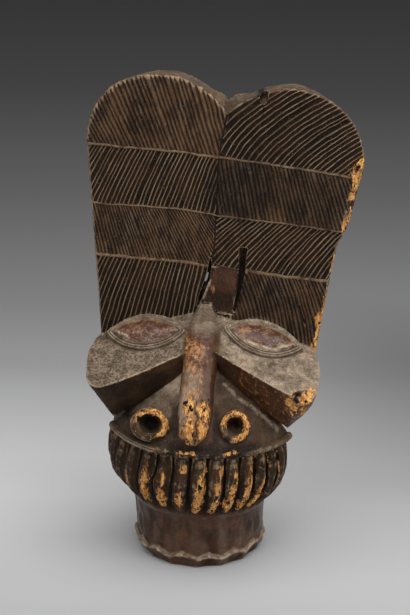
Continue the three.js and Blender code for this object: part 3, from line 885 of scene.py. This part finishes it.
def dustiness(surface, lens):
    """Where dust lies: on what faces up, most of all on the cheeks, and thinly on the muzzle and neck; on the
    neck it also paints the viewer's right side lighter as painted light.
    """
    upward = fade(surface.upward, 0.75, 0.25)
    upward = upward * np.maximum(fade(surface.w, 10.0, 20.0), fade(surface.behind, 7.0, 3.0))
    left_top = fade(surface.x, -20.0, 20.0) * fade(surface.z, 256.0, 236.0)
    muzzle = on_muzzle(surface) * (0.16 + 0.44 * left_top) * (1.0 + 0.4 * wander(surface.head, 26.0, 97))
    muzzle = muzzle * (1.0 - beside_nose(surface))
    shelves = shelf(surface) * (0.7 + 0.3 * fade(surface.x, 40.0, 0.0) - 0.6 * swirl(surface))
    face = fade(surface.z, 212.0, 205.0) * fade(surface.z, 300.0, 320.0) * fade(surface.y, -50.0, -30.0)
    upward = upward * (0.7 - 0.42 * fade(surface.w, 120.0, 60.0))
    lie = np.maximum(upward * (1.0 - 0.85 * np.maximum(on_nose(surface), face)), shelves)
    band, _ = lip_band(surface)
    smears = fade(wander(surface.points * (1.0, 1.0, 0.4), 14.0, 99), 0.5, -0.2)
    # The neck's dust thickens towards the viewer's right, painting that side lighter: painted light
    neck = on_neck(surface) * smears * (0.12 + 0.2 * fade(surface.points[:, 0], 70.0, 0.0))
    dust = np.max((lie * (1.0 - 0.9 * lens), muzzle, 0.6 * bridge(surface), neck), axis=0)
    return np.maximum(dust * (1.0 - 0.9 * broken_lip(surface)), 0.8 * band)


def pale_edges_and_highlights(surface):
    """Where an edge is painted pale, as worn wood and as a painted highlight: on the cheeks, the rim, the
    muzzle, the patch and the crest's outline.
    """
    cheeks = on_cheeks(surface) * fade(surface.y, -44.0, -36.0)
    cheeks = cheeks * fade(np.abs(surface.upward - 0.42), 0.14, 0.36)
    rim = fade(np.abs(above_rim(surface) - 0.5), 0.6, 2.6)
    rim = rim * (0.65 + 0.9 * wander(surface.points, 7.0, 95))
    beside = distance_to(MUZZLE_EDGE, surface.x, surface.z)
    muzzle = fade(beside, 0.6, 2.4) * fade(surface.y, -60.0, -50.0) * fade(surface.upward, 0.36, 0.16)
    patch = distance_to(PATCH_EDGE, surface.u, surface.w)
    patch = fade(patch, 0.5, 2.5) * near_board(surface)
    board = fade(np.abs(surface.facing - 0.62), 0.12, 0.36) * fade(np.abs(surface.behind), 4.0, 8.0)
    board = board * fade(surface.w, 60.0, 30.0) * (0.7 + 0.5 * wander(surface.points, 12.0, 96))
    board = board * (1.0 - 0.65 * fade(surface.w, 365.0, 340.0))
    return np.clip(np.max((cheeks, rim, 0.8 * muzzle, 0.8 * patch, 0.55 * board), axis=0), 0.0, 1.0)


def darkness(surface):
    """Where the wood is painted almost black: parts of the crest, the jaw, the teeth and stains on the neck,
    with painted shade in the crest's second split, on the cheeks' shaded fronts, beside the nose, at the
    muzzle's foot and on the neck under the teeth.
    """
    dark = np.zeros(len(surface.points))
    for middle, reach, strength in DARK_PLACES:
        away = crest_distance(surface, middle, reach)
        dark = np.maximum(dark, strength * fade(away, 0.5, 1.15))
    dark = dark * fade(surface.behind, -8.0, -14.0) * fade(surface.w, 10.0, -4.0)
    # Painted shade on the left cheek's downward front, and on the right cheek's front beside the nose
    under = fade(surface.upward, 0.0, 0.3) * fade(surface.z, 255.0, 235.0)
    under = 0.45 * under * fade(surface.x, -70.0, -30.0) * fade(surface.y, -30.0, -10.0)
    under = under + 0.5 * fade(np.abs(surface.x), 52.0, 90.0) * cheek_front(surface)
    jaw = 0.5 * fade(surface.z, 215.0, 225.0) * fade(surface.radius, 120.0, JAW_INNER)
    jaw = jaw * fade(surface.y, 60.0, 100.0) * fade(surface.z, 88.0, 94.0)
    # Painted shade in a band on the neck under the teeth, and the neck's stains
    neck = np.maximum(0.6 * fade(np.abs(surface.z - 90.0), 5.0, 16.0), 0.55 * neck_stains(surface))
    neck = neck * fade(surface.radius, JAW_INNER, 118.0)
    muzzle = np.maximum(beside_nose(surface), 0.35 * fade(surface.x, 40.0, 10.0)) * on_muzzle(surface)
    teeth = 0.5 * fade(surface.z, 212.0, 216.0) * fade(surface.z, 96.0, 92.0)
    teeth = teeth * fade(surface.radius, 120.0, JAW_INNER) * fade(surface.y, -20.0, 0.0)
    return np.max((dark, under, jaw, neck, muzzle, teeth, broken_lip(surface)), axis=0)


def linear(colour):
    """A 0 to 255 colour as the shader takes it."""
    return tuple((c / 255.0) ** 2.2 for c in colour) + (1.0,)


class Tree:
    """A node tree that is being wired up."""

    def __init__(self, tree):
        self.tree = tree

    def add(self, kind, **inputs):
        """A node. Capitalised words are its inputs, and the others its settings."""
        made = self.tree.nodes.new("ShaderNode" + kind)
        for name, value in inputs.items():
            if name[0].islower():
                setattr(made, name, value)
            else:
                self.put(made.inputs[name.replace("_", " ")], value)
        return made

    def put(self, socket, value):
        """Gives a socket another one's output, a number, or a colour in 0 to 255."""
        if isinstance(value, bpy.types.NodeSocket):
            self.tree.links.new(value, socket)
        elif socket.type == "RGBA":
            socket.default_value = linear(value)
        else:
            socket.default_value = value

    def math(self, operation, first, second=0.0):
        made = self.tree.nodes.new("ShaderNodeMath")
        made.operation = operation
        self.put(made.inputs[0], first)
        self.put(made.inputs[1], second)
        return made.outputs[0]

    def times(self, first, second):
        return self.math("MULTIPLY", first, second)

    def most(self, first, second):
        return self.math("MAXIMUM", first, second)

    def apart(self, first, second):
        return self.math("ABSOLUTE", self.math("SUBTRACT", first, second))

    def mix(self, share, first, second):
        """The colour first where share is 0, and second where it is 1."""
        made = self.tree.nodes.new("ShaderNodeMix")
        made.data_type = "RGBA"
        self.put(made.inputs[0], share)
        self.put(made.inputs[6], first)
        self.put(made.inputs[7], second)
        return made.outputs[2]

    def blend(self, share, first, second):
        """The number first where share is 0, and second where it is 1."""
        made = self.tree.nodes.new("ShaderNodeMix")
        self.put(made.inputs[0], share)
        self.put(made.inputs[2], first)
        self.put(made.inputs[3], second)
        return made.outputs[0]

    def ramp(self, value, low, high, to_low=0.0, to_high=1.0):
        """A smooth step from to_low, where value is low, to to_high, where it is high."""
        made = self.add("MapRange", interpolation_type="SMOOTHSTEP", Value=value)
        for name, number in (("From Min", low), ("From Max", high), ("To Min", to_low), ("To Max", to_high)):
            self.put(made.inputs[name], number)
        return made.outputs[0]

    def ramp_line(self, value, low, high):
        return self.add("MapRange", Value=value, From_Min=low, From_Max=high).outputs[0]

    def noise(self, places, scale, detail, roughness=0.6):
        made = self.add("TexNoise", Vector=places, Scale=scale, Detail=detail, Roughness=roughness)
        return made.outputs["Fac"]

    def stored(self, name):
        return self.add("Attribute", attribute_name=name).outputs["Fac"]

    def places(self, stretch=(1.0, 1.0, 1.0)):
        """Places on the object in metres, squeezed along each axis."""
        own = self.add("TexCoord").outputs["Object"]
        return self.add("Mapping", Vector=own, Scale=stretch).outputs[0]


def new_group(name, inputs, outputs):
    """An empty node group with these named inputs and outputs, and its two ends."""
    group = bpy.data.node_groups.new(name, "ShaderNodeTree")
    for label, kind in inputs:
        group.interface.new_socket(label, in_out="INPUT", socket_type=kind)
    for label, kind in outputs:
        group.interface.new_socket(label, in_out="OUTPUT", socket_type=kind)
    return Tree(group), group.nodes.new("NodeGroupInput"), group.nodes.new("NodeGroupOutput")


FLOAT = "NodeSocketFloat"
# What the carved lines are drawn from. The mesh keeps each as line_ and its name.
LINE_INPUTS = ("Place", "Gap", "Crisp", "Row", "Side")


def grain_group():
    """Upright wood grain: light and dark streaks, and fine pores."""
    tree, _, end = new_group("wood_grain", [], [("Streaks", FLOAT), ("Pores", FLOAT)])
    streaks = tree.noise(tree.places((1.0, 1.0, 0.07)), 260.0, 5.0, 0.65)
    pores = tree.noise(tree.places((1.0, 1.0, 0.12)), 900.0, 2.0)
    tree.put(end.inputs["Streaks"], tree.ramp(streaks, 0.35, 0.68))
    tree.put(end.inputs["Pores"], tree.ramp(pores, 0.42, 0.34))
    return tree.tree


def broken_edge_group():
    """A mask with a crisp, splintered border where Field passes zero."""
    tree, start, end = new_group("splintered_edge", [("Field", FLOAT)], [("Mask", FLOAT)])
    splinters = tree.noise(tree.places((1.0, 1.0, 0.3)), 170.0, 6.0, 0.72)
    swing = tree.times(tree.math("SUBTRACT", splinters, 0.5), 3.4)
    tree.put(end.inputs["Mask"], tree.ramp(tree.math("ADD", start.outputs["Field"], swing), -0.03, 0.08))
    return tree.tree


def flakes_group():
    """Upright flakes that cover more as Wear goes from 0 to 1."""
    tree, start, end = new_group("worn_flakes", [("Wear", FLOAT)], [("Mask", FLOAT)])
    wear = start.outputs["Wear"]
    flakes = tree.noise(tree.places((1.0, 1.0, 0.16)), 190.0, 6.0, 0.75)
    reach = tree.math("ADD", flakes, tree.times(wear, 0.5))
    mask = tree.times(tree.ramp(reach, 0.8, 0.95), tree.ramp(wear, 0.02, 0.2))
    tree.put(end.inputs["Mask"], mask)
    return tree.tree


def blotch_group():
    """Soft uneven blotches from 0 to 1 of the given number to the metre."""
    tree, start, end = new_group("blotches", [("Scale", FLOAT)], [("Mask", FLOAT)])
    field = tree.noise(tree.places(), start.outputs["Scale"], 6.0, 0.7)
    tree.put(end.inputs["Mask"], tree.ramp(field, 0.36, 0.64))
    return tree.tree


def carved_lines_group():
    """The crest's carved lines, drawn finely from where each point lies among them."""
    ends = [("Ridge", FLOAT), ("Groove", FLOAT)]
    tree, start, end = new_group("carved_lines", [(name, FLOAT) for name in LINE_INPUTS], ends)
    place, gap, crisp, row, side = (start.outputs[name] for name in LINE_INPUTS)
    line = tree.math("ROUND", place)
    from_line = tree.apart(place, line)
    away = tree.times(from_line, gap)
    own = tree.add("TexWhiteNoise", noise_dimensions="1D", W=line).outputs["Value"]
    worn = tree.noise(tree.places((1.0, 1.0, 0.4)), 80.0, 5.0, 0.7)
    steady = tree.ramp(worn, 0.36, 0.54, 0.3, 1.0)
    strength = tree.times(tree.ramp(own, 0.0, 1.0, 0.65, 1.0), steady)
    ridge = tree.times(tree.ramp(away, 1.15, 0.35), strength)
    wide_groove = tree.ramp(away, 0.6, 1.7)
    thin_groove = tree.times(tree.ramp(away, 1.75, 0.6), tree.ramp(worn, 0.62, 0.46, 0.4, 1.0))
    is_crisp = tree.math("GREATER_THAN", crisp, 0.5)
    groove = tree.blend(is_crisp, thin_groove, wide_groove)
    from_level = tree.apart(row, tree.math("ROUND", row))
    raised = tree.times(tree.ramp(from_level, 1.7 / ROW_HEIGHT, 0.5 / ROW_HEIGHT), strength)
    inner = tree.times(tree.math("GREATER_THAN", row, 0.5), tree.math("LESS_THAN", row, 3.5))
    raised = tree.times(raised, inner)
    parting = tree.ramp(tree.math("ABSOLUTE", side), 1.8, 0.5)
    between = tree.ramp(from_line, 0.2, 0.42, 0.0, 0.4)
    strip = tree.times(between, tree.ramp(worn, 0.4, 0.6, 0.1, 1.0))
    ridge = tree.times(tree.blend(is_crisp, strip, ridge), tree.ramp(parting, 1.0, 0.0))
    groove = tree.times(tree.most(groove, parting), tree.ramp(raised, 0.5, 0.0))
    tree.put(end.inputs["Ridge"], tree.most(ridge, raised))
    tree.put(end.inputs["Groove"], groove)
    return tree.tree


def eye_rims_group():
    """The cut lines around an eye, and the light bands between them."""
    ends = [("Line", FLOAT), ("Band", FLOAT)]
    tree, start, end = new_group("eye_rims", [("Within", FLOAT), ("Lid", FLOAT)], ends)
    within, lid = start.outputs["Within"], start.outputs["Lid"]
    lines = 0.0
    for place, _ in EYE_LINES:
        lines = tree.most(tree.ramp(tree.apart(within, place), 1.4, 0.3), lines)
    rim = tree.times(tree.ramp(within, -2.0, 1.0), tree.ramp(within, 11.0, 8.0))
    tree.put(end.inputs["Line"], tree.times(lines, lid))
    tree.put(end.inputs["Band"], tree.times(rim, lid))
    return tree.tree


def placed(tree, group, **inputs):
    """The outputs of a group that is put into a tree with these inputs."""
    made = tree.tree.nodes.new("ShaderNodeGroup")
    made.node_tree = group
    for name, value in inputs.items():
        tree.put(made.inputs[name], value)
    return made.outputs


def eye_colour(tree, small, middling, grit):
    """Reddish polished wood with dust, ochre and dark spots, as on the eyes."""
    glaze = tree.mix(tree.ramp(small, 0.5, 1.0, 0.0, 0.8), LENS_RED, LENS_DUST)
    glaze = tree.mix(tree.ramp(middling, 0.6, 1.0, 0.0, 0.5), glaze, OCHRE)
    return tree.mix(tree.ramp(grit, 0.8, 0.2, 0.0, 0.7), glaze, DARK_PATINA_AND_SHADE)


def broken_colour(tree, grain, small):
    """The pale wood of a break, with dark pores, holes and gaps between its splinters."""
    fresh = tree.mix(grain["Streaks"], BARE_WOOD, BARE_SHADE)
    fresh = tree.mix(tree.times(grain["Pores"], 0.7), fresh, GRIME_AND_SHADE)
    holes = tree.noise(tree.places((1.0, 1.0, 0.5)), 190.0, 5.0, 0.75)
    fresh = tree.mix(tree.ramp(holes, 0.46, 0.42), fresh, GRIME_AND_SHADE)
    gaps = tree.noise(tree.places((1.0, 1.0, 0.45)), 105.0, 4.0, 0.65)
    fresh = tree.mix(tree.ramp(gaps, 0.43, 0.4), fresh, GRIME_AND_SHADE)
    return tree.mix(tree.ramp(small, 0.7, 1.0, 0.0, 0.75), fresh, BARE_SHADE)


def patinated_wood():
    """The mask's wood: dark patina, reddish where it is handled, dust, painted shade in the cuts and hollows,
    painted highlights, and bare breaks.
    """
    material = bpy.data.materials.new("patinated_wood_aged")
    material.use_nodes = True
    tree = Tree(material.node_tree)
    shader = tree.tree.nodes["Principled BSDF"]
    grain = placed(tree, grain_group())
    blotches = blotch_group()
    sizes = (22.0, 58.0, 120.0, 400.0)
    broad, middling, small, grit = (placed(tree, blotches, Scale=size)["Mask"] for size in sizes)
    relief = tree.stored("relief")
    among_lines = {name: tree.stored("line_" + name.lower()) for name in LINE_INPUTS}
    lines = placed(tree, carved_lines_group(), **among_lines)
    front = tree.stored("crest_front")
    dimmed = tree.ramp(tree.stored("dark"), 0.0, 1.0, 1.0, 0.45)
    ridge = tree.times(tree.times(lines["Ridge"], front), dimmed)
    groove = tree.times(lines["Groove"], front)
    eye = placed(tree, eye_rims_group(), Within=tree.stored("eye_within"), Lid=tree.stored("eye_lid"))

    colour = tree.mix(broad, DARK_PATINA_AND_SHADE, BROWN_PATINA)
    colour = tree.mix(tree.times(grain["Streaks"], 0.4), colour, BROWN_PATINA)
    dark = tree.times(tree.stored("dark"), tree.ramp(small, 0.0, 1.0, 1.0, 0.75))
    # Almost black places, some of them painted shade
    colour = tree.mix(dark, colour, DARK_PATINA_AND_SHADE)
    red = tree.times(tree.stored("red"), tree.ramp(small, 0.0, 1.0, 0.45, 1.0))
    mottled = tree.mix(tree.times(grain["Streaks"], 0.7), RED_PATINA, BROWN_PATINA)
    mottled = tree.mix(tree.times(middling, 0.85), mottled, DARK_PATINA_AND_SHADE)
    colour = tree.mix(red, colour, mottled)
    lens = tree.stored("lens")
    colour = tree.mix(tree.times(lens, 0.85), colour, eye_colour(tree, small, middling, grit))
    worn = placed(tree, flakes_group(), Wear=tree.stored("worn"))["Mask"]
    colour = tree.mix(worn, colour, tree.mix(small, WORN_BROWN, OCHRE))

    # Painted shade: the relief's hollows, the cuts, gaps and holes, and the grooves between the crest's lines
    # go near black
    crevice = tree.most(tree.ramp(relief, -0.1, -0.9), tree.stored("cut"))
    crevice = tree.most(crevice, tree.times(groove, 0.9))
    colour = tree.mix(tree.times(crevice, 0.9), colour, GRIME_AND_SHADE)

    patchy = tree.times(tree.ramp(small, 0.0, 1.0, 0.7, 1.0), tree.ramp(grit, 0.0, 0.6, 0.85, 1.0))
    dust = tree.times(tree.stored("dusty"), patchy)
    dust = tree.times(dust, tree.ramp(relief, -0.6, 0.0, 0.3, 1.0))
    dust = tree.most(dust, tree.times(eye["Band"], 0.75))
    dust = tree.times(dust, tree.ramp(crevice, 0.0, 1.0, 1.0, 0.12))
    settled = tree.blend(0.3, middling, grit)
    colour = tree.mix(dust, colour, tree.mix(settled, DARK_DUST, DUST))
    chisel = tree.noise(tree.places((0.6, 0.6, 1.0)), 420.0, 3.0, 0.6)
    pits = tree.times(tree.ramp(chisel, 0.52, 0.38), tree.stored("pitted"))
    colour = tree.mix(tree.times(pits, 0.6), colour, DARK_PATINA_AND_SHADE)

    edge = tree.ramp(tree.stored("edge"), 0.5, 1.1)
    edge = tree.times(edge, tree.ramp(small, 0.1, 0.7, 0.35, 0.9))
    rubbed_and_highlit = tree.times(tree.stored("pale"), tree.ramp(small, 0.05, 0.6, 0.3, 0.95))
    nicks = tree.times(tree.ramp(relief, 0.4, 0.9), tree.ramp(grit, 0.2, 0.8, 0.1, 0.8))
    ridge_colour = tree.mix(tree.times(broad, 0.7), WORN_RIDGE, RED_RIDGE)
    colour = tree.mix(ridge, colour, ridge_colour)
    sound = tree.ramp(crevice, 0.3, 0.8, 1.0, 0.0)
    worn_through = tree.times(tree.most(edge, nicks), sound)
    colour = tree.mix(worn_through, colour, WORN_RIDGE)
    # Pale edges, worn and painted as highlights, and the painted glints in the lenses
    colour = tree.mix(tree.times(rubbed_and_highlit, sound), colour, PALE_EDGE)
    # Painted shade in the cut lines around the eyes
    colour = tree.mix(tree.times(eye["Line"], 0.7), colour, DARK_PATINA_AND_SHADE)

    specks = tree.noise(tree.places(), 520.0, 2.0, 0.6)
    colour = tree.mix(tree.ramp(specks, 0.66, 0.72, 0.0, 0.55), colour, WORN_RIDGE)
    colour = tree.mix(tree.ramp(specks, 0.36, 0.3, 0.0, 0.75), colour, GRIME_AND_SHADE)

    bare = placed(tree, broken_edge_group(), Field=tree.stored("bare"))["Mask"]
    colour = tree.mix(bare, colour, broken_colour(tree, grain, small))
    tree.put(shader.inputs["Base Color"], colour)

    dry = tree.most(tree.most(dust, bare), crevice)
    handled = tree.ramp(tree.stored("red"), 0.0, 0.9, 0.3, 1.0)
    handled = tree.times(handled, tree.ramp(lens, 0.0, 1.0, 1.0, 0.9))
    polish = tree.times(tree.math("SUBTRACT", 1.0, dry), handled)
    tree.put(shader.inputs["Roughness"], tree.ramp(polish, 0.0, 1.0, 0.85, 0.32))
    shader.inputs["Specular IOR Level"].default_value = 0.2
    tree.put(shader.inputs["Coat Weight"], tree.ramp(polish, 0.2, 0.9, 0.0, 0.25))
    shader.inputs["Coat Roughness"].default_value = 0.22
    height = tree.times(grain["Streaks"], 0.25)
    layers = (
        (small, 0.35), (grit, 0.2), (ridge, 0.7), (groove, -0.4), (eye["Line"], -0.8), (bare, -0.5),
        (worn, -0.3), (pits, -0.8),
    )
    for layer, depth in layers:
        height = tree.math("ADD", height, tree.times(layer, depth))
    bump = tree.add("Bump", Height=height, Strength=0.8, Distance=MM)
    tree.put(shader.inputs["Normal"], bump.outputs[0])
    return material


def backdrop_material():
    """Paper that is pale under the mask, with painted shade that falls off to dark grey behind it and darkens
    it on the viewer's right.
    """
    material = bpy.data.materials.new("studio_paper")
    material.use_nodes = True
    tree = Tree(material.node_tree)
    shader = tree.tree.nodes["Principled BSDF"]
    place = tree.add("SeparateXYZ", Vector=tree.places()).outputs
    away = place["Y"]
    ramp = tree.add("ValToRGB", Fac=tree.ramp_line(away, PAPER[0][0], PAPER[-1][0]))
    stops = ramp.color_ramp.elements
    while len(stops) < len(PAPER):
        stops.new(0.5)
    for stop, (distance, grey) in zip(stops, PAPER):
        stop.position = (distance - PAPER[0][0]) / (PAPER[-1][0] - PAPER[0][0])
        stop.color = linear((grey, grey, grey + 1))
    # Painted shade: the paper is darkened on the viewer's right, near the mask
    near = tree.times(tree.ramp(away, -0.2, 0.28), tree.ramp(away, 1.1, 0.7))
    side = tree.times(tree.ramp(place["X"], -0.15, 0.38), near)
    grey = tree.mix(tree.times(side, RIGHT_SHADE), ramp.outputs["Color"], BLACK)
    tree.put(shader.inputs["Base Color"], grey)
    shader.inputs["Roughness"].default_value = 0.9
    shader.inputs["Specular IOR Level"].default_value = 0.1
    return material


def studio():
    """A wide flat floor of paper."""
    mesh = bpy.data.meshes.new("studio_floor")
    corners = [(x * FLOOR_REACH, y * FLOOR_REACH, 0.0) for x, y in ((-1, -1), (1, -1), (1, 1), (-1, 1))]
    mesh.from_pydata(corners, [], [(0, 1, 2, 3)])
    mesh.materials.append(backdrop_material())
    floor = bpy.data.objects.new("studio_floor", mesh)
    bpy.context.scene.collection.objects.link(floor)


def softbox(name, place, target, size, power):
    """A rectangular light that faces the target. Its size is in metres and its power in watts."""
    light = bpy.data.lights.new(name, "AREA")
    light.shape = "RECTANGLE"
    light.size, light.size_y = size
    light.energy = power
    lamp = bpy.data.objects.new(name, light)
    lamp.location = place
    lamp.rotation_euler = (Vector(target) - Vector(place)).to_track_quat("-Z", "Y").to_euler()
    bpy.context.scene.collection.objects.link(lamp)


def lighting():
    middle = (0.0, 0.0, 0.4)
    softbox("key_overhead", (0.3, -0.7, 2.7), middle, (2.6, 2.2), 70.0)
    softbox("right_side", (2.1, -1.4, 1.1), middle, (1.4, 2.0), 18.0)
    softbox("left_front", (-1.8, -2.4, 1.5), middle, (1.6, 2.0), 14.0)
    world = bpy.data.worlds.new("soft_room")
    world.use_nodes = True
    background = world.node_tree.nodes["Background"]
    background.inputs["Color"].default_value = (1.0, 1.0, 1.0, 1.0)
    background.inputs["Strength"].default_value = 0.38
    bpy.context.scene.world = world


def camera():
    lens = bpy.data.cameras.new("camera")
    lens.sensor_fit = "VERTICAL"
    lens.sensor_height = CAMERA_SENSOR
    lens.lens = CAMERA_LENS
    eye = bpy.data.objects.new("camera", lens)
    eye.location = CAMERA_PLACE
    eye.rotation_euler = (math.pi / 2 - CAMERA_PITCH, 0.0, CAMERA_HEADING)
    bpy.context.scene.collection.objects.link(eye)
    bpy.context.scene.camera = eye


def mask():
    wood = block_of_wood()
    carve(wood)
    note_relief(wood, "relief", RELIEF_STEPS)
    thin_out(wood)
    note_relief(wood, "edge", EDGE_STEPS)
    note_colours(wood)
    wood.data.shade_smooth()
    wood.data.materials.clear()
    wood.data.materials.append(patinated_wood())
    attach(wood, "root")
    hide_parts("mask")


camera()
lighting()
studio()
mask()
bpy.context.scene.view_settings.view_transform = "Standard"
